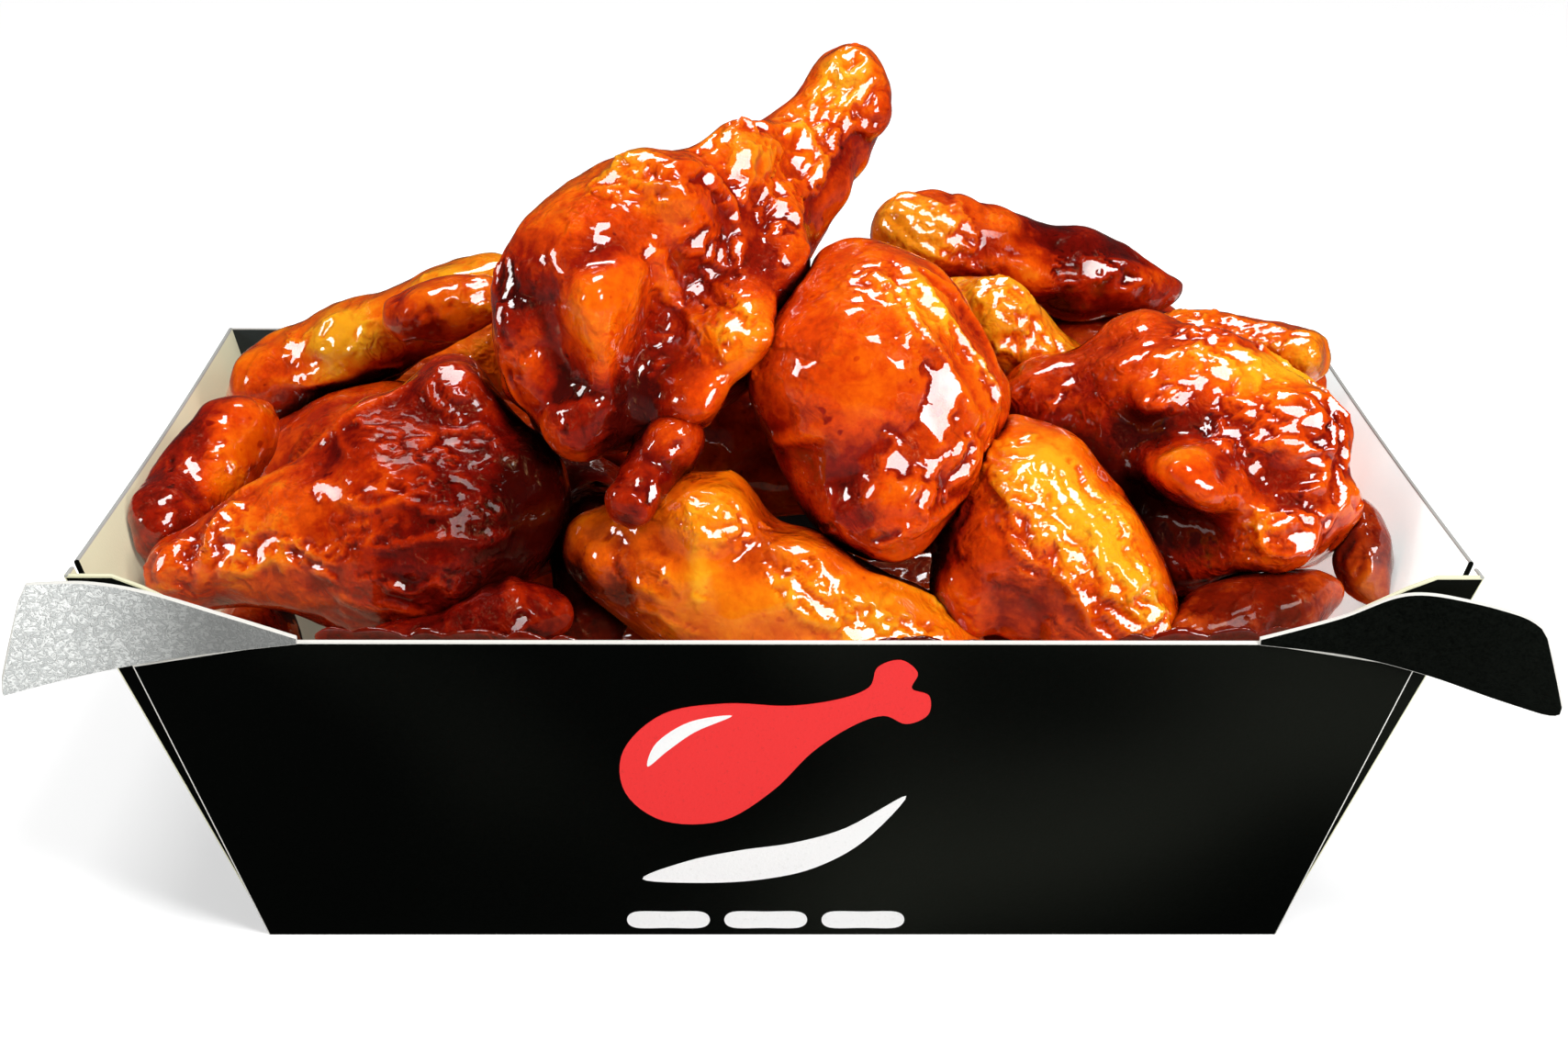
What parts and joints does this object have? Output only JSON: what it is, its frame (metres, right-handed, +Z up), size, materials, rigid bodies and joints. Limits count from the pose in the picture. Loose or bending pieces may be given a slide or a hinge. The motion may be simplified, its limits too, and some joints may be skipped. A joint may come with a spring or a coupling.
{
  "type": "glazed chicken wings in a paperboard tray",
  "caption": "Glazed fried chicken wings heaped in a folded black paperboard tray with leaning walls and two flared front ears.",
  "frame": {"origin": "the middle of the underside of the tray's base", "axes": "+X to the right along the tray's long side, +Y away from the front panel, +Z up"},
  "size_m": [0.2218, 0.144, 0.1271],
  "materials": {
    "tray_card": "black satin outside, plain white inside, white cut edges",
    "glaze_amber": "golden fried skin under a thin wet glaze",
    "glaze_orange": "orange-brown skin under a wet glaze",
    "glaze_red": "dark red-brown skin under a thick wet glaze",
    "glaze_dark": "nearly black-red caught glaze"
  },
  "bodies": {
    "root": {"tray": "tray_card", "top_drumette": "glaze_orange", "centre_thigh": "glaze_orange", "right_cluster": "glaze_orange", "left_drumette": "glaze_red", "front_left_flat": "glaze_amber", "front_right_flat": "glaze_amber", "crest_flat": "glaze_red", "back_left_flat": "glaze_orange", "back_left_tip": "glaze_orange", "right_low_tip": "glaze_dark", "right_end_tip": "glaze_dark", "front_low_tip": "glaze_red", "left_end_flat": "glaze_red", "right_deep_flat": "glaze_orange", "hanging_tip": "glaze_dark", "centre_back_flat": "glaze_orange", "right_back_flat": "glaze_orange", "centre_low_flat": "glaze_dark", "rear_top_drumette": "glaze_orange", "rear_right_drumette": "glaze_red", "rear_left_flat": "glaze_amber", "rear_middle_thigh": "glaze_orange", "rear_end_flat": "glaze_red", "middle_left_thigh": "glaze_red", "middle_flat": "glaze_orange", "middle_right_thigh": "glaze_orange", "middle_front_flat": "glaze_red", "centre_gap_flat": "glaze_red", "low_left_thigh": "glaze_red", "low_right_thigh": "glaze_red", "low_front_left_drumette": "glaze_red", "low_front_right_drumette": "glaze_red", "low_back_left_flat": "glaze_orange", "low_back_right_flat": "glaze_orange", "low_middle_left_flat": "glaze_red", "low_middle_right_flat": "glaze_red"}
  },
  "joints": []
}
